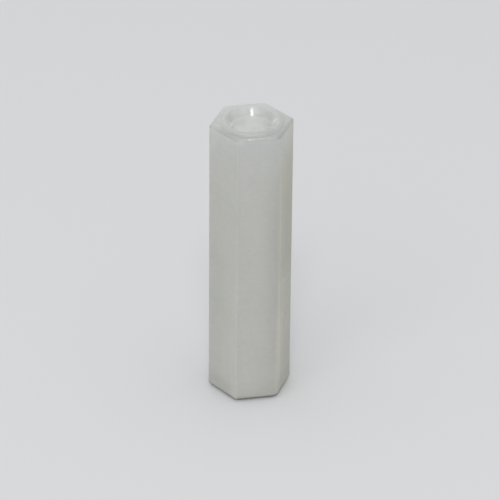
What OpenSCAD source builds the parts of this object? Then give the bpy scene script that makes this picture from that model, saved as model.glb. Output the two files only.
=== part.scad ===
// Moulded nylon hex standoff, female at both ends.
// One piece: a hexagonal pillar with a raised seating land round the mouth of each threaded hole.
// Millimetres, +Z up along the pillar. The origin is the middle of the lower seating land.

/* [Pillar] */
// Distance across two opposite flats of the hexagon
across_flats = 6; // [5.8:0.1:10]
// Length from one seating land to the other, the spacing that the standoff sets
overall_length = 25; // [22:0.5:60]

/* [Edges] */
// Radius of the four long edges inside the two mould halves
edge_radius = 0.25; // [0.1:0.05:0.6]
// Radius of the two long edges on the mould's parting line
parting_edge_radius = 0.45; // [0.1:0.05:0.8]
// Radius of the edges round the two hexagonal ends
end_edge_radius = 0.15; // [0.05:0.05:0.2]

/* [Seating land] */
// How far each land stands proud of the hexagonal end
land_height = 0.28; // [0.1:0.02:0.3]
// Width of the flat land, between the mouth's rim and the rounded flank
land_width = 0.08; // [0.05:0.01:0.2]
// Radius of the round flank that falls from the land to the hexagonal end
flank_radius = 0.3; // [0.3:0.01:0.45]

/* [Mouth] */
// Radius of the rounded rim between the land and the tapered mouth
mouth_rim_radius = 0.26; // [0.05:0.01:0.3]
// Diameter at which the taper would meet the land if the rim were sharp
mouth_diameter = 4.25; // [4:0.05:4.3]
// Depth from the land to the small end of the taper
taper_depth = 0.6; // [0.5:0.01:1.2]
// Diameter of the smooth lead-in below the taper, clear of the screw
lead_in_diameter = 3.2; // [3.1:0.05:3.6]
// Depth from the land to the end of the smooth lead-in
lead_in_depth = 2.6; // [1.6:0.1:4]

/* [Thread] */
// Bore of the thread at its crests, for an M3 screw
thread_bore_diameter = 2.5; // [2.4:0.05:2.6]
// Depth from the land to the end of the thread
thread_depth = 9.5; // [6:0.1:10]
// Included angle of the shoulder between the lead-in and the thread
shoulder_angle = 90; // [60:5:140]
// Included angle of the pointed end of the hole
tip_angle = 118; // [90:1:150]

/* [Hidden] */

natural_nylon = [0.80, 0.80, 0.77];

// How far a cutter or a joined solid runs past the face it meets
overrun = 0.2;
// Facets of a true circle
arc_facets = 96;

hex_length = overall_length - 2 * land_height;
slab_length = 2 * across_flats;

mouth_radius = mouth_diameter / 2;
lead_in_radius = lead_in_diameter / 2;
thread_bore_radius = thread_bore_diameter / 2;

// The taper leans this many degrees off the axis
taper_lean = atan((mouth_radius - lead_in_radius) / taper_depth);
mouth_tangent = tangent_length(mouth_rim_radius, 90 + taper_lean);
land_outer_radius = mouth_radius + mouth_tangent + land_width;

shoulder_depth = (lead_in_radius - thread_bore_radius) / tan(shoulder_angle / 2);
tip_depth = thread_bore_radius / tan(tip_angle / 2);

// Distance from a corner of two lines to the tangent points of an arc that rounds it
function tangent_length(arc_radius, corner_angle) = arc_radius / tan(corner_angle / 2);

// Direction of a line that leans off the downward axis
function down_line(lean) = [sin(lean), -cos(lean)];

// Radius of the long edge at one corner of the hexagon; corners 1 and 4 lie on the parting line
function corner_arc(corner) = corner % 3 == 1 ? parting_edge_radius : edge_radius;

// Middle of the arc that rounds one corner of the hexagon
function corner_centre(corner) =
    (across_flats / 2 - corner_arc(corner)) / cos(30)
    * [cos(30 + 60 * corner), sin(30 + 60 * corner)];

// Direction out of one flat of the hexagon
function flat_normal(flat) = [cos(60 * flat), sin(60 * flat)];

// Section of the pillar: straight flats joined by an arc at each corner.
module hexagon_section() {
    polygon([
        for (corner = [0:5], side = [0, 1])
            corner_centre(corner) + corner_arc(corner) * flat_normal(corner + side)
    ]);
    for (corner = [0:5])
        translate(corner_centre(corner))
            circle(r = corner_arc(corner), $fn = arc_facets);
}

// Side view of the pillar across one pair of flats, with rounded end edges.
module slab_section() {
    straight_width = across_flats - 2 * end_edge_radius;
    straight_length = hex_length - 2 * end_edge_radius;
    square([straight_width, hex_length], center = true);
    square([across_flats, straight_length], center = true);
    for (x = [-1, 1], y = [-1, 1])
        translate([x * straight_width / 2, y * straight_length / 2])
            circle(r = end_edge_radius, $fn = arc_facets);
}

// Everything between one pair of flats, middle at the origin.
module slab() {
    rotate([90, 0, 0])
        linear_extrude(height = slab_length, center = true)
            slab_section();
}

// The pillar, middle at the origin: what its section and its three pairs of flats have in common.
module pillar() {
    intersection() {
        linear_extrude(height = overall_length, center = true)
            hexagon_section();
        slab();
        rotate([0, 0, 60])
            slab();
        rotate([0, 0, 120])
            slab();
    }
}

// Half section of a seating land, its top at z = 0, without the hole.
module land_section() {
    translate([0, -land_height - overrun])
        square([land_outer_radius, land_height + overrun]);
    translate([land_outer_radius, -flank_radius])
        circle(r = flank_radius, $fn = arc_facets);
}

// Half section of a hole below a land at z = 0: rim, taper, lead-in, shoulder, thread and tip.
module hole_section() {
    corner = [mouth_radius, 0];
    rim_centre = corner + [mouth_tangent, -mouth_rim_radius];
    difference() {
        polygon([
            [0, -thread_depth - tip_depth],
            [thread_bore_radius, -thread_depth],
            [thread_bore_radius, -lead_in_depth - shoulder_depth],
            [lead_in_radius, -lead_in_depth],
            [lead_in_radius, -taper_depth],
            corner + mouth_tangent * down_line(-taper_lean),
            rim_centre,
            corner + [mouth_tangent, 0],
            corner + [mouth_tangent, overrun],
            [0, overrun]
        ]);
        translate(rim_centre)
            circle(r = mouth_rim_radius, $fn = arc_facets);
    }
}

// Puts its children at both ends of the pillar, facing out.
module at_both_ends() {
    translate([0, 0, overall_length])
        children();
    mirror([0, 0, 1])
        children();
}

module hex_standoff() {
    color(natural_nylon)
        difference() {
            union() {
                translate([0, 0, overall_length / 2])
                    pillar();
                at_both_ends()
                    rotate_extrude($fn = arc_facets)
                        land_section();
            }
            at_both_ends()
                rotate_extrude($fn = arc_facets)
                    hole_section();
        }
}

hex_standoff();
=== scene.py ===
"""Natural nylon hex standoff: the dressed part, its floor, its lamps and its camera.

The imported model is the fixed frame. Its one solid is stood for by a finer mesh of the same form,
which adds the screw threads, the slight hollows of the moulded flats and the mould's parting line.
Lengths are metres in the mesh and the studio, and millimetres in the finish. Angles are degrees,
unless a docstring says radians.
"""

import logging
import math
from abc import ABC, abstractmethod
from collections.abc import Sequence
from dataclasses import dataclass, field
from enum import Enum, auto
from functools import partial, reduce

import bpy
import numpy as np
from mathutils import Matrix, Vector


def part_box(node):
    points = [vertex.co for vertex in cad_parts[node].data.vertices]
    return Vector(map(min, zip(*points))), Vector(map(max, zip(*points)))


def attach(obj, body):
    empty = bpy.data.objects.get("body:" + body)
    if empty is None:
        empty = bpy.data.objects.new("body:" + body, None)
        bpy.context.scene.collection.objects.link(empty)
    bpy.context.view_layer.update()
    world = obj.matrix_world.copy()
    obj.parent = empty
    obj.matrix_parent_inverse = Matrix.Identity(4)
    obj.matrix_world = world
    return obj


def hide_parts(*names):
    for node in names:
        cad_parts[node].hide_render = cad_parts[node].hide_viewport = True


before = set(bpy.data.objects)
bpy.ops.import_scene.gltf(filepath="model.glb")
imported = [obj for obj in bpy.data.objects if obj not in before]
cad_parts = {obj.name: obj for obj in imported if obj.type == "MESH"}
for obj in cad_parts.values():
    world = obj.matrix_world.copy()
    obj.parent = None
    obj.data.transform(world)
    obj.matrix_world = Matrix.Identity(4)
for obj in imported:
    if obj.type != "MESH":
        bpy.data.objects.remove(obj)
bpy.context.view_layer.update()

log = logging.getLogger("hex_standoff")

MM = 0.001
NODE = "hex_standoff"
BODY = "root"
SLOT = "natural_nylon"
SKIN = "standoff_skin"

SIDES = 6
SIDE_TURN = 360 / SIDES


class End(Enum):
    """The two ends of the pillar, by the direction in which each faces."""

    UPPER = 1
    LOWER = -1


def unit(angle: float) -> np.ndarray:
    """Direction in the plane of the section, at an angle from +X."""
    return np.array([math.cos(math.radians(angle)), math.sin(math.radians(angle))])


def ease(value: float | np.ndarray) -> np.ndarray:
    """Smooth step from 0 to 1 as a value goes from 0 to 1."""
    clipped = np.clip(value, 0.0, 1.0)
    return clipped * clipped * (3.0 - 2.0 * clipped)


# -------- form of the pillar


@dataclass(frozen=True)
class HexSection:
    """Cross-section of the pillar: six flats joined by round edges.

    Corners 1 and 4, at +Y and -Y, lie on the mould's parting plane and are rounder than the rest.
    Points run anticlockwise, and each corner starts where the arc leaves the flat before it.
    """

    across_flats: float
    edge_radius: float = 0.25 * MM
    parting_radius: float = 0.45 * MM
    flash_height: float = 0.012 * MM
    sink_depth: float = 0.022 * MM
    arc_steps: int = 8
    flat_steps: int = 20

    def on_parting(self, corner: int) -> bool:
        """Whether a corner lies on the parting plane."""
        return corner % (SIDES // 2) == 1

    def corner_radius(self, corner: int) -> float:
        """Radius of the arc at one corner."""
        return self.parting_radius if self.on_parting(corner) else self.edge_radius

    def corner_centre(self, corner: int) -> np.ndarray:
        """Middle of the arc at one corner."""
        reach = self.across_flats / 2 - self.corner_radius(corner)
        return reach / math.cos(math.radians(SIDE_TURN / 2)) * unit(SIDE_TURN * (corner + 0.5))

    def corner_points(self, corner: int, inset: float) -> list[np.ndarray]:
        """Points of one corner's arc.

        Args:
            corner: Number of the corner, from 0 at 30 degrees.
            inset: Distance by which the whole section is drawn in.

        Returns:
            The arc's points. On the parting plane the middle one stands out as a fine flash line.
        """
        centre = self.corner_centre(corner)
        points = []
        for step in range(self.arc_steps + 1):
            reach = max(self.corner_radius(corner) - inset, 0.0)
            on_line = step in (0, self.arc_steps // 2, self.arc_steps)
            if self.on_parting(corner) and not on_line:
                reach = max(reach - self.flash_height, 0.0)
            angle = SIDE_TURN * (corner + step / self.arc_steps)
            points.append(centre + reach * unit(angle))
        return points

    def outline(self, inset: float = 0.0, sink: float = 0.0) -> np.ndarray:
        """Closed outline of the section.

        Args:
            inset: Distance by which the whole section is drawn in.
            sink: How far the flats' middles have sunk, from 0 to 1 of the full depth.

        Returns:
            One row of x and y for each point.
        """
        points = []
        for corner in range(SIDES):
            arc = self.corner_points(corner, inset)
            points.extend(arc)
            start = arc[-1]
            stop = self.corner_points((corner + 1) % SIDES, inset)[0]
            inward = -unit(SIDE_TURN * (corner + 1))
            for step in range(1, self.flat_steps):
                along = step / self.flat_steps
                hollow = self.sink_depth * sink * math.sin(math.pi * along) ** 2
                points.append(start + (stop - start) * along + inward * hollow)
        return np.array(points)


@dataclass(frozen=True)
class Corner:
    """One corner of a turned half section, which may be rounded by a fillet.

    Its height is above the seating land, so a depth is negative. The plain steps are those of the
    straight run from this corner to the next.
    """

    radius: float
    height: float
    fillet: float = 0.0
    arc_steps: int = 4
    steps: int = 1

    @property
    def place(self) -> np.ndarray:
        """Radius and height of the corner."""
        return np.array([self.radius, self.height])


def straight_run(start: np.ndarray, stop: np.ndarray, steps: int) -> list[np.ndarray]:
    """Evenly spaced points after a start, up to and with a stop."""
    return [start + (stop - start) * step / steps for step in range(1, steps + 1)]


def fillet_arc(here: Corner, back: np.ndarray, ahead: np.ndarray) -> list[np.ndarray]:
    """Points of the arc that rounds a corner, with its two tangent points.

    Args:
        here: The corner.
        back: Direction from it to the corner before.
        ahead: Direction from it to the corner after.

    Returns:
        The points in order, or the corner alone if it has no fillet.
    """
    if not here.fillet:
        return [here.place]
    half_angle = math.acos(float(np.clip(back @ ahead, -1.0, 1.0))) / 2
    tangent = here.fillet / math.tan(half_angle)
    bisector = (back + ahead) / np.linalg.norm(back + ahead)
    centre = here.place + bisector * here.fillet / math.sin(half_angle)
    first = here.place + back * tangent
    last = here.place + ahead * tangent
    sweep = math.pi - 2 * half_angle
    points = [first]
    for step in range(1, here.arc_steps + 1):
        turn = step / here.arc_steps
        spoke = math.sin((1 - turn) * sweep) * (first - centre)
        spoke = spoke + math.sin(turn * sweep) * (last - centre)
        points.append(centre + spoke / math.sin(sweep))
    return points


def rounded_path(corners: Sequence[Corner]) -> np.ndarray:
    """Turns a chain of corners into points, with an arc at each filleted corner.

    Args:
        corners: The corners in order. The first and the last have no fillet.

    Returns:
        One row of radius and height for each point.
    """
    points = [corners[0].place]
    steps = corners[0].steps
    for before, here, after in zip(corners, corners[1:], corners[2:]):
        back = before.place - here.place
        ahead = after.place - here.place
        arc = fillet_arc(here, back / np.linalg.norm(back), ahead / np.linalg.norm(ahead))
        points.extend(straight_run(points[-1], arc[0], steps))
        points.extend(arc[1:])
        steps = here.steps
    points.extend(straight_run(points[-1], corners[-1].place, steps))
    return np.array(points)


@dataclass(frozen=True)
class ScrewThread:
    """Internal right-hand metric thread, cut round the pillar's axis."""

    crest_radius: float = 1.25 * MM
    root_radius: float = 1.53 * MM
    pitch: float = 0.5 * MM
    run_out: float = 0.5 * MM
    root_half_width: float = 1 / 16
    flank_width: float = 5 / 16

    def radii(self, height: float, angles: np.ndarray, above_end: float) -> np.ndarray:
        """Radii of the thread's surface at one height.

        Args:
            height: Height in the part's frame.
            angles: Angles round the axis, in radians.
            above_end: Distance left to the blind end of the thread.

        Returns:
            One radius for each angle.
        """
        turn = height / self.pitch - angles / (2 * math.pi)
        from_root = np.abs(turn - np.round(turn))
        groove = ease(1 - (from_root - self.root_half_width) / self.flank_width)
        fade = ease(above_end / self.run_out)
        return self.crest_radius + (self.root_radius - self.crest_radius) * groove * fade


@dataclass(frozen=True)
class Mouth:
    """One end of the pillar inside the hexagon: the seating land and the threaded hole.

    Depths are measured from the seating land.
    """

    land_height: float = 0.28 * MM
    land_width: float = 0.08 * MM
    flank_radius: float = 0.3 * MM
    flank_steps: int = 10
    foot_fillet: float = 0.01 * MM
    rim_radius: float = 0.26 * MM
    mouth_diameter: float = 4.25 * MM
    taper_depth: float = 0.6 * MM
    taper_fillet: float = 0.05 * MM
    lead_in_diameter: float = 3.2 * MM
    lead_in_depth: float = 2.6 * MM
    shoulder_fillet: float = 0.04 * MM
    thread_depth: float = 9.5 * MM
    shoulder_angle: float = 90.0
    tip_angle: float = 118.0
    tip_start: float = 0.02
    thread: ScrewThread = field(default_factory=ScrewThread)
    rings_per_pitch: int = 12

    @property
    def shoulder_end(self) -> float:
        """Depth at which the shoulder has come in to the thread's crests."""
        step_in = self.lead_in_diameter / 2 - self.thread.crest_radius
        return self.lead_in_depth + step_in / math.tan(math.radians(self.shoulder_angle / 2))

    @property
    def land_outer_radius(self) -> float:
        """Where the flat of the seating land ends and its flank starts.

        Returns:
            The radius.
        """
        lean = math.atan((self.mouth_diameter - self.lead_in_diameter) / 2 / self.taper_depth)
        tangent = self.rim_radius / math.tan((math.pi / 2 + lean) / 2)
        return self.mouth_diameter / 2 + tangent + self.land_width

    @property
    def flank_sweep(self) -> float:
        """Angle, in radians, through which the flank turns before it meets the hexagonal end."""
        return math.acos(1 - self.land_height / self.flank_radius)

    @property
    def foot_radius(self) -> float:
        """Radius at which the land's flank meets the hexagonal end."""
        return self.land_outer_radius + self.flank_radius * math.sin(self.flank_sweep)

    @property
    def outer_radius(self) -> float:
        """Radius on the hexagonal end, just past the foot, at which the mouth's rings stop."""
        return self.foot_radius + 2 * self.foot_fillet

    def flank(self) -> list[Corner]:
        """The round flank of the land, from its flat to just above its foot."""
        turns = [self.flank_sweep * step / self.flank_steps for step in range(self.flank_steps)]
        return [
            Corner(self.land_outer_radius + self.flank_radius * math.sin(turn),
                   -self.flank_radius * (1 - math.cos(turn)))
            for turn in turns
        ]

    def half_section(self) -> np.ndarray:
        """Half section from the pointed end of the hole out onto the hexagonal end.

        Returns:
            One row of radius and height above the land for each ring.
        """
        bore = self.thread.crest_radius
        lead_in = self.lead_in_diameter / 2
        tip_depth = self.thread_depth + bore / math.tan(math.radians(self.tip_angle / 2))
        turns = (self.thread_depth - self.shoulder_end) / self.thread.pitch
        return rounded_path([
            Corner(self.tip_start * bore, -tip_depth, steps=5),
            Corner(bore, -self.thread_depth, steps=round(turns * self.rings_per_pitch)),
            Corner(bore, -self.shoulder_end, steps=9),
            Corner(lead_in, -self.lead_in_depth, self.shoulder_fillet, arc_steps=3, steps=12),
            Corner(lead_in, -self.taper_depth, self.taper_fillet, arc_steps=4, steps=6),
            Corner(self.mouth_diameter / 2, 0.0, self.rim_radius, arc_steps=9, steps=2),
            *self.flank(),
            Corner(self.foot_radius, -self.land_height, self.foot_fillet, arc_steps=3, steps=3),
            Corner(self.outer_radius, -self.land_height),
        ])

    def ring_radii(self, radius: float, height: float, place: float,
                   angles: np.ndarray) -> np.ndarray:
        """Radii round one ring, with the thread cut where it reaches.

        Args:
            radius: Radius of the smooth half section.
            height: Height above the land, negative inside the hole.
            place: Height of the ring in the part's frame.
            angles: Angles round the axis, in radians.

        Returns:
            One radius for each angle.
        """
        smooth = np.full(len(angles), radius)
        depth = -height
        if self.lead_in_depth < depth <= self.thread_depth:
            return np.maximum(smooth, self.thread.radii(place, angles, self.thread_depth - depth))
        return smooth


@dataclass
class Pillar:
    """The whole standoff as one closed skin of rings, from the upper hole's point to the lower's.

    The flats' hollow grows from the end_sink share of its depth near the ends to all of it, over
    the sink_reach share of the length. Each ripple wave is how many lie round the pillar, and the
    height in which it turns by one radian.
    """

    low: Vector
    high: Vector
    mouth: Mouth = field(default_factory=Mouth)
    end_edge_radius: float = 0.15 * MM
    end_edge_steps: int = 6
    end_face_steps: int = 4
    side_steps: int = 48
    end_sink: float = 0.35
    sink_reach: float = 0.4
    sink_start: float = 1.2 * MM
    ripple_depth: float = 0.004 * MM
    ripple_waves: tuple[tuple[int, float], ...] = ((3, 1.9 * MM), (5, -1.1 * MM))
    ripple_start: float = 2.0 * MM

    def __post_init__(self) -> None:
        """Works out the section and the angles that every ring shares."""
        self.section = HexSection(across_flats=self.high.x - self.low.x)
        outline = self.section.outline()
        self.angles = np.arctan2(outline[:, 1], outline[:, 0])

    @property
    def length(self) -> float:
        """Length from land to land."""
        return self.high.z - self.low.z

    @property
    def middle(self) -> Vector:
        """Middle of the pillar."""
        return (self.low + self.high) / 2

    def hex_end(self, end: End) -> float:
        """Height of one hexagonal end face."""
        return self.middle.z + end.value * (self.length / 2 - self.mouth.land_height)

    def ring(self, plan: np.ndarray, height: float) -> np.ndarray:
        """Lifts a ring's plan to a height."""
        return np.column_stack([plan, np.full(len(plan), height)])

    def mouth_rings(self, end: End) -> list[np.ndarray]:
        """Rings of one hole and its land.

        Args:
            end: Which end.

        Returns:
            The rings, from the point of the hole out to the hexagonal end.
        """
        land = self.high.z if end is End.UPPER else self.low.z
        round_plan = np.column_stack([np.cos(self.angles), np.sin(self.angles)])
        rings = []
        for radius, height in self.mouth.half_section():
            place = land + end.value * height
            radii = self.mouth.ring_radii(radius, height, place, self.angles)
            rings.append(self.ring(round_plan * radii[:, None], place))
        return rings

    def end_face_rings(self, end: End, inner: np.ndarray) -> list[np.ndarray]:
        """Rings from the land's foot out to the sides, round the end's edge.

        Args:
            end: Which end.
            inner: Last ring of the land.

        Returns:
            The rings, outwards.
        """
        height = self.hex_end(end)
        rim = self.section.outline(inset=self.end_edge_radius)
        rings = []
        for step in range(1, self.end_face_steps + 1):
            share = step / self.end_face_steps
            rings.append(self.ring(inner[:, :2] + (rim - inner[:, :2]) * share, height))
        for step in range(1, self.end_edge_steps + 1):
            turn = math.pi / 2 * step / self.end_edge_steps
            inset = self.end_edge_radius * (1 - math.sin(turn))
            drop = self.end_edge_radius * (1 - math.cos(turn))
            rings.append(self.ring(self.section.outline(inset=inset), height - end.value * drop))
        return rings

    def ripple(self, height: float, from_end: float) -> np.ndarray:
        """How far the faint ripple draws the sides in at one height.

        Args:
            height: Height in the part's frame.
            from_end: Distance to the nearer end's edge.

        Returns:
            One distance for each angle.
        """
        waves = [np.sin(count * self.angles + height / rise) for count, rise in self.ripple_waves]
        most = len(waves)
        share = (most + sum(waves)) / (2 * most)
        return self.ripple_depth * ease(from_end / self.ripple_start) * share

    def side_rings(self) -> list[np.ndarray]:
        """Rings down the sides, with the hollows of the flats and the ripple.

        Returns:
            The rings, downwards.
        """
        top = self.hex_end(End.UPPER) - self.end_edge_radius
        bottom = self.hex_end(End.LOWER) + self.end_edge_radius
        length = top - bottom
        rings = []
        for step in range(1, self.side_steps):
            height = top - length * step / self.side_steps
            from_end = min(top - height, height - bottom)
            grown = float(ease(from_end / (self.sink_reach * length)))
            sink = self.end_sink + (1 - self.end_sink) * grown
            plan = self.section.outline(sink=sink * float(ease(from_end / self.sink_start)))
            draw_in = 1 - self.ripple(height, from_end) / np.linalg.norm(plan, axis=1)
            rings.append(self.ring(plan * draw_in[:, None], height))
        return rings

    def rings(self) -> list[np.ndarray]:
        """Every ring of the skin.

        Returns:
            The rings in order, from the upper hole's point to the lower's.
        """
        upper = self.mouth_rings(End.UPPER)
        upper += self.end_face_rings(End.UPPER, upper[-1])
        lower = self.mouth_rings(End.LOWER)
        lower += self.end_face_rings(End.LOWER, lower[-1])
        return upper + self.side_rings() + lower[::-1]

    def faces(self, ring_count: int) -> list[list[int]]:
        """Faces between the rings, and the fans that close the two points.

        Args:
            ring_count: How many rings there are. The two tips' points come after all of theirs.

        Returns:
            The numbers of each face's points.
        """
        count = len(self.angles)
        row = np.arange(count)
        turned = np.roll(row, -1)
        faces = []
        for here in range(0, (ring_count - 1) * count, count):
            below = here + count
            quads = np.column_stack([row + here, row + below, turned + below, turned + here])
            faces.extend(quads.tolist())
        last = (ring_count - 1) * count
        tip = ring_count * count
        faces.extend(np.column_stack([row, turned, np.full(count, tip)]).tolist())
        faces.extend(np.column_stack([turned + last, row + last, np.full(count, tip + 1)]).tolist())
        return faces

    def build(self) -> bpy.types.Object:
        """Builds the skin as one mesh object.

        Returns:
            The object, linked to the scene.
        """
        rings = self.rings()
        tips = np.array([[0.0, 0.0, rings[0][0][2]], [0.0, 0.0, rings[-1][0][2]]])
        faces = self.faces(len(rings))
        mesh = bpy.data.meshes.new(SKIN)
        mesh.from_pydata(np.vstack([*rings, tips]).tolist(), [], faces)
        mesh.update()
        mesh.shade_smooth()
        piece = bpy.data.objects.new(SKIN, mesh)
        bpy.context.scene.collection.objects.link(piece)
        log.info("%s: %d rings, %d faces", SKIN, len(rings), len(faces))
        return piece

    def dress(self, piece: bpy.types.Object, nylon: bpy.types.Material) -> None:
        """Gives the skin its finish and puts it in the solid's place.

        Args:
            piece: The skin.
            nylon: Its material.
        """
        piece.data.materials.append(nylon)
        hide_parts(NODE)
        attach(piece, BODY)


# -------- finish


Socket = bpy.types.NodeSocket
Value = Socket | float | Sequence[float]
Inputs = dict[str | int, Value]
Colour = tuple[float, float, float, float]
Tint = tuple[float, float, float]
Span = tuple[float, float]

LEFT_FLAT = 180.0
FRONT_EDGE = 210.0
FRONT = 229.0
MIDDLE_FLAT = 240.0
PARTING_EDGE = 270.0
RIGHT_FLAT = 300.0
QUARTER_TURN = 90.0

NOISE_SPAN: Span = (0.3, 0.7)


def grey(level: float) -> Tint:
    """Tint that changes the lightness alone."""
    return (level, level, level)


class Graph:
    """Thin helper round a material's or a world's node tree."""

    def __init__(self, tree: bpy.types.NodeTree) -> None:
        """Keeps the tree and empties it."""
        self.tree = tree
        self.tree.nodes.clear()

    def add(self, kind: str, inputs: Inputs | None = None, **settings: object) -> bpy.types.Node:
        """Adds a node.

        Args:
            kind: Type of the node.
            inputs: What its sockets take, by name or by number: another node's output, which is
                linked, or a plain value.
            settings: Values of its own properties, by name.

        Returns:
            The node.
        """
        node = self.tree.nodes.new(kind)
        for name, value in settings.items():
            setattr(node, name, value)
        for key, value in (inputs or {}).items():
            if isinstance(value, Socket):
                self.tree.links.new(value, node.inputs[key])
            else:
                node.inputs[key].default_value = value
        return node

    def math(self, operation: str, *values: Value) -> Socket:
        """Result of a math node over its values."""
        return self.add("ShaderNodeMath", dict(enumerate(values)), operation=operation).outputs[0]

    def vector(self, operation: str, *values: Value, out: str = "Vector") -> Socket:
        """Named output of a vector math node over its values."""
        inputs = dict(enumerate(values))
        return self.add("ShaderNodeVectorMath", inputs, operation=operation).outputs[out]

    def dot(self, place: Value, direction: Value) -> Socket:
        """How far a place reaches along a direction."""
        return self.vector("DOT_PRODUCT", place, direction, out="Value")

    def length(self, line: Value) -> Socket:
        """Length of a vector."""
        return self.vector("LENGTH", line, out="Value")

    def scaled(self, line: Value, factor: Value) -> Socket:
        """Multiplies a vector or a colour by a number."""
        inputs = {"Vector": line, "Scale": factor}
        return self.add("ShaderNodeVectorMath", inputs, operation="SCALE").outputs["Vector"]

    def turned(self, place: Value, axis: str, angle: float) -> Socket:
        """Turns a place by an angle about an axis through the origin."""
        inputs = {"Vector": place, "Angle": math.radians(angle)}
        return self.add("ShaderNodeVectorRotate", inputs, rotation_type=axis).outputs["Vector"]

    def ramp(self, value: Value, low: float, high: float, start: float = 0.0,
             stop: float = 1.0) -> Socket:
        """Smooth step from start to stop as a value goes from low to high, which may be below low."""
        inputs = dict(enumerate((value, low, high, start, stop)))
        return self.add("ShaderNodeMapRange", inputs, interpolation_type="SMOOTHSTEP").outputs[0]

    def noise(self, place: Value, waves: float, detail: float) -> Socket:
        """Noise from about 0 to 1, by its waves in a unit of place and its finer layers."""
        inputs = {"Vector": place, "Scale": waves, "Detail": detail}
        return self.add("ShaderNodeTexNoise", inputs).outputs["Fac"]

    def mix(self, share: Value, first: Value, second: Value, kind: str = "RGBA",
            blend: str = "MIX") -> Socket:
        """Mixes two colours, or two numbers if the kind is FLOAT, by a share of the second."""
        inputs = {"Factor": share, "A": first, "B": second}
        return self.add("ShaderNodeMix", inputs, data_type=kind, blend_type=blend).outputs["Result"]

    def tinted(self, colour: Value, tint: Tint, share: Value) -> Socket:
        """Multiplies a colour by a tint, by a share from 0 to 1."""
        return self.mix(share, colour, (*tint, 1.0), blend="MULTIPLY")


class Measure(Enum):
    """What can be measured on the skin.

    Height is from the lower land, and depth below the nearer land or the nearer hexagonal end. The
    last two go towards a direction, from the axis or from the flat that faces it.
    """

    RADIUS = auto()
    HEIGHT = auto()
    BELOW_TOP = auto()
    DEPTH = auto()
    END_DEPTH = auto()
    TOWARDS = auto()
    PAST_FLAT = auto()


class Skin:
    """Where a point of the skin lies, as outputs of a material's nodes, in millimetres."""

    def __init__(self, graph: Graph, pillar: Pillar) -> None:
        """Measures the skin.

        Args:
            graph: The material's nodes.
            pillar: The part.
        """
        self.graph = graph
        self.face = pillar.section.across_flats / 2 / MM
        self.length = pillar.length / MM
        coordinates = graph.add("ShaderNodeTexCoord").outputs["Object"]
        self.point = graph.scaled(coordinates, 1 / MM)
        height = graph.dot(self.point, (0.0, 0.0, 1.0))
        from_middle = graph.math("ABSOLUTE", graph.math("SUBTRACT", height, self.length / 2))
        depth = graph.math("SUBTRACT", self.length / 2, from_middle)
        self.measures = {
            Measure.RADIUS: graph.length(graph.vector("MULTIPLY", self.point, (1.0, 1.0, 0.0))),
            Measure.HEIGHT: height,
            Measure.BELOW_TOP: graph.math("SUBTRACT", self.length, height),
            Measure.DEPTH: depth,
            Measure.END_DEPTH: graph.math("SUBTRACT", depth, pillar.mouth.land_height / MM),
        }

    def towards(self, facing: float) -> Socket:
        """Distance from the axis towards a direction."""
        return self.graph.dot(self.point, (*unit(facing), 0.0))

    def measured(self, measure: Measure, facing: float) -> Socket:
        """One measure of the skin.

        Args:
            measure: Which one.
            facing: Its direction, from +X, if it has one.

        Returns:
            The measure.
        """
        if measure is Measure.TOWARDS:
            return self.towards(facing)
        if measure is Measure.PAST_FLAT:
            return self.graph.math("SUBTRACT", self.towards(facing), self.face)
        return self.measures[measure]


@dataclass(frozen=True)
class Fade:
    """One soft bound of a zone, which goes from no strength to its full strength along a measure.

    The facing is the measure's direction from +X, and the slope is what the measure gains for each
    millimetre towards it.
    """

    measure: Measure
    none: float
    full: float
    facing: float = 0.0
    slope: float = 0.0

    def share(self, skin: Skin) -> Socket:
        """Strength of the zone at this bound.

        Args:
            skin: Where the point lies.

        Returns:
            The strength, from 0 to 1.
        """
        value = skin.measured(self.measure, self.facing)
        if self.slope:
            value = skin.graph.math("MULTIPLY_ADD", skin.towards(self.facing), self.slope, value)
        return skin.graph.ramp(value, self.none, self.full)


Zone = tuple[Fade, ...]

AT_END = Fade(Measure.END_DEPTH, none=0.24, full=0.1)
BELOW_RIM = Fade(Measure.BELOW_TOP, none=0.3, full=6.5)


def zone_share(skin: Skin, zone: Zone) -> Socket:
    """Strength of a zone from 0 to 1, which is the product of its bounds' strengths."""
    return reduce(partial(skin.graph.math, "MULTIPLY"), [fade.share(skin) for fade in zone])


class Layer(ABC):
    """One shade of the nylon, laid over what is below it."""

    @abstractmethod
    def lay(self, skin: Skin, colour: Value) -> Socket:
        """Lays the shade over a colour.

        Args:
            skin: Where the point lies.
            colour: What is below.

        Returns:
            The shaded colour.
        """


@dataclass(frozen=True)
class ZoneTint(Layer):
    """Tint of one zone."""

    tint: Tint
    zone: Zone

    def lay(self, skin: Skin, colour: Value) -> Socket:
        """Tints the zone and returns the colour."""
        return skin.graph.tinted(colour, self.tint, zone_share(skin, self.zone))


@dataclass(frozen=True)
class PaintedEndSlope(Layer):
    """Painted light and shade on the ends: lighter at their back and darker at their front, as if lit
    from behind.
    """

    back: float = 1.14
    front: float = 0.87
    span: Span = (-3.4, 2.4)
    zone: Zone = (AT_END, Fade(Measure.RADIUS, none=2.05, full=2.25))

    def lay(self, skin: Skin, colour: Value) -> Socket:
        """Paints light on the ends' back and shade on their front, and returns the colour."""
        slope = skin.graph.ramp(skin.towards(FRONT), *self.span, self.back, self.front)
        return skin.graph.scaled(colour, skin.graph.mix(zone_share(skin, self.zone), 1.0, slope, "FLOAT"))


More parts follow.
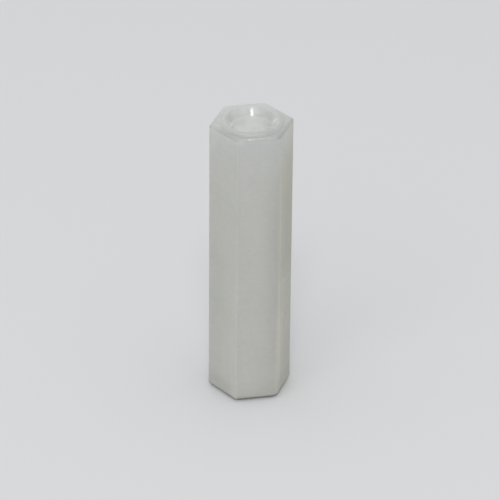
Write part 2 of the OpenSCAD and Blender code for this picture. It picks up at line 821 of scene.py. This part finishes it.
@dataclass(frozen=True)
class PaintedBoreGlow(Layer):
    """Painted light inside the hole: the wall's colour is paler, standing in for the glow of light
    gathered from all round.
    """

    start: Colour = (0.836, 0.846, 0.84, 1.0)
    deep: Colour = (0.98, 0.985, 0.982, 1.0)
    thread: Colour = (0.92, 0.932, 0.924, 1.0)
    deepening: Span = (0.7, 2.1)
    thread_start: Span = (2.1, 2.6)
    zone: Zone = (
        Fade(Measure.RADIUS, none=1.85, full=1.62),
        Fade(Measure.DEPTH, none=0.5, full=0.72),
    )

    def lay(self, skin: Skin, colour: Value) -> Socket:
        """Paints the hole's glow into its colour.

        Args:
            skin: Where the point lies.
            colour: What is outside the hole.

        Returns:
            The colour with the hole's painted glow.
        """
        graph = skin.graph
        depth = skin.measures[Measure.DEPTH]
        wall = graph.mix(graph.ramp(depth, *self.deepening), self.start, self.deep)
        wall = graph.mix(graph.ramp(depth, *self.thread_start), wall, self.thread)
        return graph.mix(zone_share(skin, self.zone), colour, wall)


@dataclass(frozen=True)
class PaintedLightOrMark(Layer):
    """Soft-edged egg-shaped patch that multiplies the nylon's colour by a tint. Most are painted light
    and shade; a few are marks in the nylon.

    Its middle is towards a direction from +X, at a distance out from the axis, which is left out on
    a flat, and at one along the surface, anticlockwise. It leans out of upright, and its core is
    the share of its size that has the full tint.
    """

    facing: float
    below_top: float
    half_along: float
    half_height: float
    tint: Tint
    out: float | None = None
    along: float = 0.0
    half_out: float = 0.3
    lean: float = 0.0
    core: float = 0.0

    def lay(self, skin: Skin, colour: Value) -> Socket:
        """Lays the patch over a colour.

        Args:
            skin: Where the point lies.
            colour: What is below.

        Returns:
            The tinted colour.
        """
        graph = skin.graph
        out = skin.face if self.out is None else self.out
        middle = (out, self.along, skin.length - self.below_top)
        sizes = (self.half_out, self.half_along, self.half_height)
        facing = graph.turned(skin.point, "Z_AXIS", -self.facing)
        leaned = graph.turned(graph.vector("SUBTRACT", facing, middle), "X_AXIS", self.lean)
        reach = graph.length(graph.vector("DIVIDE", leaned, sizes))
        return graph.tinted(colour, self.tint, graph.ramp(reach, 1.0, self.core))


@dataclass(frozen=True)
class Cloud(Layer):
    """Faint play of lightness all through the nylon, by noise with so many waves in a millimetre.

    It goes from dark to light over a span of the noise. The squeeze draws the waves closer along
    X, Y and Z.
    """

    waves: float
    detail: float
    dark: float = 0.986
    light: float = 1.014
    span: Span = NOISE_SPAN
    squeeze: tuple[float, float, float] = (1.0, 1.0, 1.0)

    def lay(self, skin: Skin, colour: Value) -> Socket:
        """Lays the play of lightness over a colour.

        Args:
            skin: Where the point lies.
            colour: What is below.

        Returns:
            The clouded colour.
        """
        graph = skin.graph
        place = graph.vector("MULTIPLY", skin.point, self.squeeze)
        noise = graph.noise(place, self.waves, self.detail)
        return graph.scaled(colour, graph.ramp(noise, *self.span, self.dark, self.light))


Layers = tuple[Layer, ...]

SIDE_PAINTED_SHADE: Layers = (
    # Painted shade: the far right side is duller.
    ZoneTint((0.94, 0.94, 0.93), (
        Fade(Measure.TOWARDS, none=-0.4, full=1.75, facing=RIGHT_FLAT + 30.0),
        BELOW_RIM,
    )),
    # Painted shade with a reflected olive tint: the right flat is darker and olive down to a sloping
    # edge.
    ZoneTint((0.96, 0.966, 0.93), (
        Fade(Measure.PAST_FLAT, none=-0.15, full=-0.02, facing=RIGHT_FLAT),
        Fade(Measure.HEIGHT, none=10.5, full=10.95, facing=RIGHT_FLAT + QUARTER_TURN, slope=0.16),
        BELOW_RIM,
    )),
    # Painted shade: the foot, near the floor, is duller.
    ZoneTint((0.93, 0.93, 0.92), (Fade(Measure.HEIGHT, none=2.4, full=0.3),)),
)

END_PAINTED_LIGHT_AND_SHADE: Layers = (
    PaintedEndSlope(),
    # Shade in the groove at the land's foot.
    ZoneTint((0.92, 0.925, 0.925), (
        AT_END,
        Fade(Measure.RADIUS, none=2.54, full=2.64),
        Fade(Measure.RADIUS, none=2.86, full=2.68),
        Fade(Measure.TOWARDS, none=0.2, full=1.8, facing=FRONT),
    )),
    # Painted light: the rim's crest is lighter at the front.
    ZoneTint((1.09, 1.09, 1.085), (
        AT_END,
        Fade(Measure.RADIUS, none=1.98, full=2.1),
        Fade(Measure.RADIUS, none=2.4, full=2.26),
        Fade(Measure.TOWARDS, none=-0.4, full=1.4, facing=FRONT),
    )),
    # Painted highlight: so is the end's edge over the middle flat.
    ZoneTint(grey(1.09), (
        AT_END,
        Fade(Measure.PAST_FLAT, none=-0.28, full=-0.21, facing=MIDDLE_FLAT),
        Fade(Measure.PAST_FLAT, none=-0.08, full=-0.14, facing=MIDDLE_FLAT),
        Fade(Measure.TOWARDS, none=-1.7, full=-0.8, facing=MIDDLE_FLAT + QUARTER_TURN),
        Fade(Measure.TOWARDS, none=1.1, full=-0.3, facing=MIDDLE_FLAT + QUARTER_TURN),
    )),
    # Painted shade: the edges over the left and the right flat are darker.
    ZoneTint(grey(0.88), (
        AT_END,
        Fade(Measure.PAST_FLAT, none=-0.28, full=-0.14, facing=LEFT_FLAT),
    )),
    ZoneTint((0.81, 0.81, 0.80), (
        AT_END,
        Fade(Measure.PAST_FLAT, none=-0.28, full=-0.14, facing=RIGHT_FLAT),
    )),
)

# Painted light: the flash lines on the parting edges and the taper of the mouth are paler.
PALE_PAINTED_LIGHT: Layers = (
    ZoneTint(grey(1.05), (
        Fade(Measure.TOWARDS, none=3.365, full=3.385, facing=PARTING_EDGE - 2 * QUARTER_TURN),
    )),
    ZoneTint(grey(1.05), (Fade(Measure.TOWARDS, none=3.365, full=3.385, facing=PARTING_EDGE),)),
    ZoneTint(grey(1.05), (Fade(Measure.RADIUS, none=2.2, full=2.0),)),
)

RIGHT_FLAT_MARKS_AND_PAINTED_LIGHT: Layers = (
    # Painted shade and reflection: dull warm upper half, dullest above the sloping edge, and a pale line
    # along that edge.
    PaintedLightOrMark(RIGHT_FLAT, 9.4, 2.4, 5.4, (0.985, 0.988, 0.975), along=0.8, lean=3.0),
    PaintedLightOrMark(RIGHT_FLAT, 12.6, 1.9, 1.6, (0.965, 0.97, 0.95), along=0.6, lean=9.0),
    PaintedLightOrMark(RIGHT_FLAT, 4.4, 2.2, 3.6, (1.005, 0.985, 0.965), along=0.5),
    PaintedLightOrMark(RIGHT_FLAT, 14.4, 2.6, 0.35, (1.035, 1.03, 1.04), along=-0.2, lean=9.0),
    # Painted reflection: paler lower half, with small dark marks that are partly scuffs and partly
    # painted reflection.
    PaintedLightOrMark(RIGHT_FLAT, 18.2, 2.0, 5.6, (1.085, 1.07, 1.05), along=-0.5),
    PaintedLightOrMark(RIGHT_FLAT, 17.83, 0.28, 0.55, (0.78, 0.79, 0.7), along=0.35, lean=40.0),
    PaintedLightOrMark(RIGHT_FLAT, 18.38, 0.24, 0.6, (0.81, 0.815, 0.75), along=-0.08),
    PaintedLightOrMark(RIGHT_FLAT, 17.5, 0.25, 0.25, (0.9, 0.9, 0.84), along=0.85),
    PaintedLightOrMark(RIGHT_FLAT, 17.15, 0.22, 0.22, (0.89, 0.89, 0.85), along=-0.1),
    PaintedLightOrMark(RIGHT_FLAT, 17.7, 0.25, 0.4, (1.1, 1.1, 1.08), along=-0.35),
    # Painted shade: dull olive far corner of the foot; and painted light: the pale top.
    PaintedLightOrMark(RIGHT_FLAT, 21.8, 1.7, 2.6, (0.955, 0.955, 0.95), along=0.9),
    PaintedLightOrMark(RIGHT_FLAT, 23.8, 1.2, 1.3, (0.93, 0.94, 0.87), along=1.1),
    PaintedLightOrMark(RIGHT_FLAT, 0.7, 2.8, 5.2, (1.115, 1.105, 1.1), along=0.3),
    # Painted highlight: a pale line beside the parting edge, and its soft glow.
    PaintedLightOrMark(RIGHT_FLAT, 9.0, 0.42, 12.0, (1.145, 1.13, 1.135), along=-1.37, core=0.3),
    PaintedLightOrMark(RIGHT_FLAT, 9.0, 1.0, 9.0, (1.06, 1.05, 1.035), along=-0.8),
    PaintedLightOrMark(RIGHT_FLAT, 19.4, 0.75, 5.0, (1.065, 1.06, 1.055), along=-0.7),
    PaintedLightOrMark(RIGHT_FLAT, 21.0, 0.6, 8.0, (1.18, 1.16, 1.15), along=-1.32, core=0.2),
    # Painted reflected light: a warm tone over the whole flat, and two pale patches.
    PaintedLightOrMark(RIGHT_FLAT, 14.5, 3.4, 24.0, (1.004, 1.0, 0.966), core=0.3),
    PaintedLightOrMark(RIGHT_FLAT, 5.2, 1.8, 2.4, (1.04, 1.04, 1.03), along=-0.5),
    PaintedLightOrMark(RIGHT_FLAT, 14.2, 1.8, 2.2, (1.035, 1.035, 1.03), along=-0.7),
)

MIDDLE_FLAT_TONE_AND_PAINTED_SHADE: Layers = (
    # Shade beside the parting edge.
    PaintedLightOrMark(MIDDLE_FLAT, 11.5, 1.25, 18.0, (0.925, 0.93, 0.935), along=1.55),
    # Dull top, cool tone of the whole flat, and pale foot.
    PaintedLightOrMark(MIDDLE_FLAT, 0.8, 2.8, 2.8, (0.955, 0.955, 0.96), along=0.4),
    PaintedLightOrMark(MIDDLE_FLAT, 12.5, 2.6, 30.0, (0.996, 0.991, 1.006)),
    PaintedLightOrMark(MIDDLE_FLAT, 22.5, 1.4, 3.0, (1.025, 1.02, 1.03), along=-0.7),
    # Shade beside the front edge.
    PaintedLightOrMark(MIDDLE_FLAT, 15.0, 0.5, 18.0, (0.975, 0.975, 0.978), along=-1.5),
)

LEFT_FLAT_TONE_AND_PAINTED_LIGHT: Layers = (
    # Painted shade: dull foot and far half; and the warm tone of the near half.
    PaintedLightOrMark(LEFT_FLAT, 24.0, 2.4, 1.7, grey(0.92), along=-0.9),
    PaintedLightOrMark(LEFT_FLAT, 15.2, 1.8, 12.5, (0.935, 0.94, 0.935), along=-0.8),
    PaintedLightOrMark(LEFT_FLAT, 13.0, 1.8, 16.0, (1.0, 1.002, 0.985), along=0.6),
    # Painted light: a pale line beside the front edge, and the pale top corner.
    PaintedLightOrMark(LEFT_FLAT, 21.0, 0.5, 9.0, (1.03, 1.03, 1.025), along=1.3),
    PaintedLightOrMark(LEFT_FLAT, 1.6, 0.9, 1.8, (1.03, 1.03, 1.025), along=-1.1),
    # The front edge itself, with painted shade at the top and painted light at the foot.
    PaintedLightOrMark(FRONT_EDGE, 1.0, 0.4, 14.0, grey(0.95), out=3.4, half_out=0.5),
    PaintedLightOrMark(FRONT_EDGE, 24.5, 0.9, 1.4, (1.07, 1.07, 1.06), out=3.35, along=-0.2, half_out=0.6),
)

LAND_PAINTED_LIGHT: Layers = (
    # Rim and land: painted light on the left, painted shade on the right, and small painted glints.
    PaintedLightOrMark(146.0, 0.15, 1.8, 0.6, (1.035, 1.035, 1.03), out=2.45, half_out=0.9),
    PaintedLightOrMark(337.0, 0.15, 1.0, 0.6, grey(0.92), out=2.35, half_out=0.35),
    PaintedLightOrMark(205.0, 0.08, 0.9, 0.35, grey(1.24), out=2.15, half_out=0.22),
    PaintedLightOrMark(123.0, 0.07, 0.8, 0.3, grey(1.07), out=2.15, half_out=0.22),
    PaintedLightOrMark(296.0, 0.06, 0.4, 0.2, grey(1.08), out=2.14, half_out=0.15),
    # Flank and foot: painted shade at the front left, painted light on the right.
    PaintedLightOrMark(199.0, 0.28, 1.1, 0.25, grey(0.93), out=2.62, half_out=0.22, core=0.3),
    PaintedLightOrMark(326.0, 0.26, 0.5, 0.2, grey(1.06), out=2.6, half_out=0.2),
    PaintedLightOrMark(284.0, 0.08, 0.7, 0.2, grey(1.06), out=2.5, half_out=0.25),
)

MOUTH_PAINTED_LIGHT: Layers = (
    # Taper: painted light and highlights, bright on the left and the right and paler at the back, and
    # painted shade, dull in between.
    PaintedLightOrMark(357.0, 0.35, 0.95, 0.6, (0.93, 0.925, 0.915), out=1.85, half_out=0.5),
    PaintedLightOrMark(99.0, 0.35, 0.9, 0.6, grey(1.045), out=1.85, half_out=0.5),
    PaintedLightOrMark(126.0, 0.3, 1.0, 0.6, (0.87, 0.89, 0.88), out=1.9, half_out=0.5),
    PaintedLightOrMark(158.0, 0.35, 0.8, 0.8, (1.38, 1.38, 1.37), out=1.86, half_out=0.38),
    PaintedLightOrMark(15.0, 0.25, 0.7, 0.4, grey(0.95), out=1.9, half_out=0.4),
    PaintedLightOrMark(31.0, 0.12, 0.4, 0.25, grey(0.92), out=2.02, core=0.2),
    PaintedLightOrMark(71.0, 0.45, 0.6, 0.3, grey(1.07), out=1.72),
    PaintedLightOrMark(69.0, 0.2, 0.8, 0.5, grey(1.08), out=1.95, half_out=0.5),
    PaintedLightOrMark(324.0, 0.3, 0.5, 0.5, (1.34, 1.34, 1.33), out=1.87, half_out=0.5),
    PaintedLightOrMark(136.0, 0.3, 0.7, 0.4, grey(1.14), out=1.95, half_out=0.4),
    PaintedLightOrMark(301.0, 0.23, 0.7, 0.5, grey(1.27), out=1.97, half_out=0.45),
    PaintedLightOrMark(306.0, 0.41, 0.4, 0.3, grey(1.15), out=1.77),
    # Lead-in: painted light at the back and the left, painted shade on the right.
    PaintedLightOrMark(131.0, 1.3, 1.3, 1.5, grey(1.08), out=1.6, half_out=0.5),
    PaintedLightOrMark(106.0, 1.55, 1.1, 0.9, grey(1.09), out=1.6, half_out=0.5, core=0.2),
    PaintedLightOrMark(72.0, 1.9, 0.9, 0.7, grey(1.05), out=1.6, half_out=0.5, core=0.2),
    PaintedLightOrMark(143.0, 0.6, 0.6, 0.5, grey(1.22), out=1.65, half_out=0.35, core=0.2),
    PaintedLightOrMark(23.0, 1.1, 0.6, 1.1, grey(0.95), out=1.6, half_out=0.4, core=0.3),
    PaintedLightOrMark(28.0, 0.58, 0.55, 0.16, grey(0.87), out=1.62, half_out=0.2, core=0.4),
    PaintedLightOrMark(343.0, 1.2, 1.4, 1.3, grey(0.87), out=1.6, half_out=0.6),
)

END_EDGE_PAINTED_LIGHT: Layers = (
    # Painted light: the upper end is paler along its left side and at its front corner.
    PaintedLightOrMark(157.0, 0.3, 0.85, 0.4, grey(1.09), out=3.08, half_out=0.6, core=0.3),
    PaintedLightOrMark(88.0, 0.28, 1.0, 0.4, grey(1.035), out=3.0, half_out=0.5),
    PaintedLightOrMark(140.0, 0.25, 1.2, 0.4, grey(1.02), out=3.1, half_out=0.5),
    PaintedLightOrMark(FRONT_EDGE, 0.4, 0.55, 0.4, grey(1.1), out=3.35, half_out=0.45),
    # Painted glints along its edge over the middle flat.
    PaintedLightOrMark(MIDDLE_FLAT, 0.3, 0.2, 0.16, grey(1.4), out=2.9, along=-0.72, half_out=0.14),
    PaintedLightOrMark(MIDDLE_FLAT, 0.3, 0.35, 0.14, grey(1.2), out=2.9, along=-0.42, half_out=0.12),
    PaintedLightOrMark(MIDDLE_FLAT, 0.3, 0.3, 0.14, grey(1.18), out=2.88, along=0.2, half_out=0.12),
    PaintedLightOrMark(MIDDLE_FLAT, 0.3, 0.3, 0.14, grey(1.12), out=2.86, along=0.85, half_out=0.12),
    # Painted shade: its corner on the parting edge is dull.
    PaintedLightOrMark(PARTING_EDGE, 0.35, 0.7, 0.4, grey(0.965), out=3.2, along=-0.3, half_out=0.5),
)

CLOUDS: Layers = (
    # Milky clouds, a fine mottle, a grain that runs round the pillar, and dark specks.
    Cloud(0.3, 2.0),
    Cloud(2.2, 3.0),
    Cloud(1.0, 3.0, squeeze=(1.2, 1.2, 7.0)),
    Cloud(5.0, 0.0, dark=1.0, light=0.94, span=(0.72, 0.8)),
)


@dataclass(frozen=True)
class NaturalNylon:
    """Milky natural nylon, satin outside and polished where the core pins formed it.

    The scatter length and the bump height are in metres, as the shader takes them.
    """

    body: Colour = (0.480, 0.483, 0.450, 1.0)
    # Painted light: the colour at the upper end is paler, standing in for light that comes through from
    # the mouth, and fades over a reach in millimetres below the top.
    end_painted_glow: Colour = (0.537, 0.55, 0.542, 1.0)
    painted_glow_reach: float = 2.6
    layers: Layers = (
        *SIDE_PAINTED_SHADE, *END_PAINTED_LIGHT_AND_SHADE, *PALE_PAINTED_LIGHT, PaintedBoreGlow(), *RIGHT_FLAT_MARKS_AND_PAINTED_LIGHT, *MIDDLE_FLAT_TONE_AND_PAINTED_SHADE,
        *LEFT_FLAT_TONE_AND_PAINTED_LIGHT, *LAND_PAINTED_LIGHT, *MOUTH_PAINTED_LIGHT, *END_EDGE_PAINTED_LIGHT, *CLOUDS,
    )
    scatter_length: float = 0.4 * MM
    scatter_tint: Tint = (1.0, 0.98, 0.92)
    satin: float = 0.45
    satin_play: float = 0.04
    satin_waves: float = 3.0
    polished: float = 0.128
    polish: Fade = Fade(Measure.RADIUS, none=2.28, full=2.1)
    ior: float = 1.53
    bump_strength: float = 0.35
    bump_height: float = 0.01 * MM
    bump_waves: float = 6.0

    def colour(self, skin: Skin) -> Socket:
        """Colour of the nylon, with its painted light and shade.

        Args:
            skin: Where the point lies.

        Returns:
            The colour, with every layer.
        """
        graph = skin.graph
        # Painted light: paler towards the upper end, fading with distance below the top.
        fall = graph.math("DIVIDE", skin.measures[Measure.BELOW_TOP], -self.painted_glow_reach)
        colour = graph.mix(graph.math("EXPONENT", fall), self.body, self.end_painted_glow)
        for layer in self.layers:
            colour = layer.lay(skin, colour)
        return colour

    def roughness(self, skin: Skin) -> Socket:
        """Roughness of the surface.

        Args:
            skin: Where the point lies.

        Returns:
            The roughness, polished inside the rim's crest and satin outside it.
        """
        graph = skin.graph
        noise = graph.noise(skin.point, self.satin_waves, detail=3.0)
        limits = (self.satin - self.satin_play, self.satin + self.satin_play)
        satin = graph.ramp(noise, *NOISE_SPAN, *limits)
        return graph.mix(self.polish.share(skin), satin, self.polished, kind="FLOAT")

    def bumps(self, skin: Skin) -> Socket:
        """Normal of the surface, with its fine bumps."""
        bump = skin.graph.add("ShaderNodeBump", {
            "Strength": self.bump_strength,
            "Distance": self.bump_height,
            "Height": skin.graph.noise(skin.point, self.bump_waves, detail=4.0),
        })
        return bump.outputs["Normal"]

    def build(self, pillar: Pillar) -> bpy.types.Material:
        """Builds the material.

        Args:
            pillar: The part that it is for.

        Returns:
            The nylon, ready to assign.
        """
        material = bpy.data.materials.new(SLOT)
        material.use_nodes = True
        graph = Graph(material.node_tree)
        skin = Skin(graph, pillar)
        shader = graph.add("ShaderNodeBsdfPrincipled", {
            "Base Color": self.colour(skin),
            "Roughness": self.roughness(skin),
            "Normal": self.bumps(skin),
            "IOR": self.ior,
            "Subsurface Weight": 1.0,
            "Subsurface Radius": self.scatter_tint,
            "Subsurface Scale": self.scatter_length,
        }, subsurface_method="BURLEY")
        graph.add("ShaderNodeOutputMaterial", {"Surface": shader.outputs["BSDF"]})
        log.info("%s: %d layers", SLOT, len(self.layers))
        return material


# -------- studio


def outward(azimuth: float, elevation: float) -> Vector:
    """Direction from the part at an azimuth and an elevation.

    Args:
        azimuth: 0 is towards -Y and 90 towards +X.
        elevation: Angle above the floor.

    Returns:
        A unit vector.
    """
    turn = math.radians(azimuth)
    rise = math.radians(elevation)
    across = math.cos(rise)
    return Vector((math.sin(turn) * across, -math.cos(turn) * across, math.sin(rise)))


@dataclass(frozen=True)
class ViewCamera:
    """Long-lens camera above and to the left of the part."""

    azimuth: float = -41.07
    elevation: float = 30.76
    distance: float = 0.2913
    roll: float = 0.56
    lens_mm: float = 256.4
    sensor_mm: float = 36.0
    shift: tuple[float, float] = (-0.0007, 0.0055)
    clip: Span = (0.01, 10.0)

    def build(self, target: Vector) -> None:
        """Makes the scene's camera, aimed at a point.

        Args:
            target: What the lens points at.
        """
        data = bpy.data.cameras.new("view")
        data.lens = self.lens_mm
        data.sensor_width = self.sensor_mm
        data.shift_x, data.shift_y = self.shift
        data.clip_start, data.clip_end = self.clip
        back = outward(self.azimuth, self.elevation)
        camera = bpy.data.objects.new("view", data)
        camera.location = target + back * self.distance
        aim = (-back).to_track_quat("-Z", "Y").to_matrix()
        tilt = Matrix.Rotation(math.radians(self.roll), 3, "Z")
        camera.rotation_euler = (aim @ tilt).to_euler()
        bpy.context.scene.collection.objects.link(camera)
        bpy.context.scene.camera = camera
        log.info("view: azimuth %.2f, elevation %.2f", self.azimuth, self.elevation)


@dataclass(frozen=True)
class SoftLamp:
    """Round soft lamp that points at the part, its azimuth given as a turn from the camera's."""

    turn: float
    elevation: float
    diameter: float
    power: float
    distance: float = 0.6

    def build(self, target: Vector, camera_azimuth: float) -> None:
        """Hangs the lamp and turns it to the part.

        Args:
            target: Middle of the part.
            camera_azimuth: Where the camera stands.
        """
        data = bpy.data.lights.new("lamp", "AREA")
        data.shape = "DISK"
        data.size = self.diameter
        data.energy = self.power
        lamp = bpy.data.objects.new("lamp", data)
        away = outward(camera_azimuth + self.turn, self.elevation)
        lamp.location = target + away * self.distance
        lamp.rotation_euler = away.to_track_quat("Z", "Y").to_euler()
        lamp.visible_camera = False
        bpy.context.scene.collection.objects.link(lamp)
        log.info("lamp: %.2f m wide, %.1f W", self.diameter, self.power)


@dataclass(frozen=True)
class Studio:
    """Pale floor, even sky, a small lamp that glints in the mouth and a wide one."""

    camera_azimuth: float
    floor_half_width: float = 1.5
    floor_colour: Colour = (0.72, 0.73, 0.74, 1.0)
    floor_roughness: float = 0.8
    sky_colour: Colour = (1.0, 1.0, 1.0, 1.0)
    sky_strength: float = 0.72
    lamps: tuple[SoftLamp, ...] = (
        SoftLamp(turn=-0.8, elevation=50.0, diameter=0.12, power=0.6),
        SoftLamp(turn=-27.0, elevation=42.0, diameter=0.5, power=0.6),
    )

    def floor_material(self) -> bpy.types.Material:
        """Makes the floor's finish.

        Returns:
            The material.
        """
        material = bpy.data.materials.new("pale_floor")
        material.use_nodes = True
        graph = Graph(material.node_tree)
        inputs = {"Base Color": self.floor_colour, "Roughness": self.floor_roughness}
        shader = graph.add("ShaderNodeBsdfPrincipled", inputs)
        graph.add("ShaderNodeOutputMaterial", {"Surface": shader.outputs["BSDF"]})
        return material

    def build_floor(self, height: float) -> None:
        """Lays the floor.

        Args:
            height: Height of its surface.
        """
        side = self.floor_half_width
        corners = ((-side, -side), (side, -side), (side, side), (-side, side))
        mesh = bpy.data.meshes.new("floor")
        mesh.from_pydata([(x, y, height) for x, y in corners], [], [(0, 1, 2, 3)])
        mesh.materials.append(self.floor_material())
        floor = bpy.data.objects.new("floor", mesh)
        bpy.context.scene.collection.objects.link(floor)
        log.info("floor: %.1f m wide", 2 * side)

    def build_sky(self) -> None:
        """Lights the part evenly from all round."""
        world = bpy.data.worlds.new("studio")
        world.use_nodes = True
        graph = Graph(world.node_tree)
        inputs = {"Color": self.sky_colour, "Strength": self.sky_strength}
        light = graph.add("ShaderNodeBackground", inputs)
        graph.add("ShaderNodeOutputWorld", {"Surface": light.outputs["Background"]})
        bpy.context.scene.world = world

    def build(self, pillar: Pillar) -> None:
        """Sets up the whole studio round the part.

        Args:
            pillar: The part.
        """
        self.build_floor(pillar.low.z)
        self.build_sky()
        for lamp in self.lamps:
            lamp.build(pillar.middle, self.camera_azimuth)
        bpy.context.scene.view_settings.view_transform = "Standard"


# -------- assembly


def main() -> None:
    """Builds the camera, the standoff and the studio."""
    logging.basicConfig(level=logging.INFO, format="%(name)s: %(message)s")
    pillar = Pillar(*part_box(NODE))
    camera = ViewCamera()
    camera.build(pillar.middle)
    pillar.dress(pillar.build(), NaturalNylon().build(pillar))
    Studio(camera.azimuth).build(pillar)
    log.info("built")


if __name__ == "__main__":
    main()
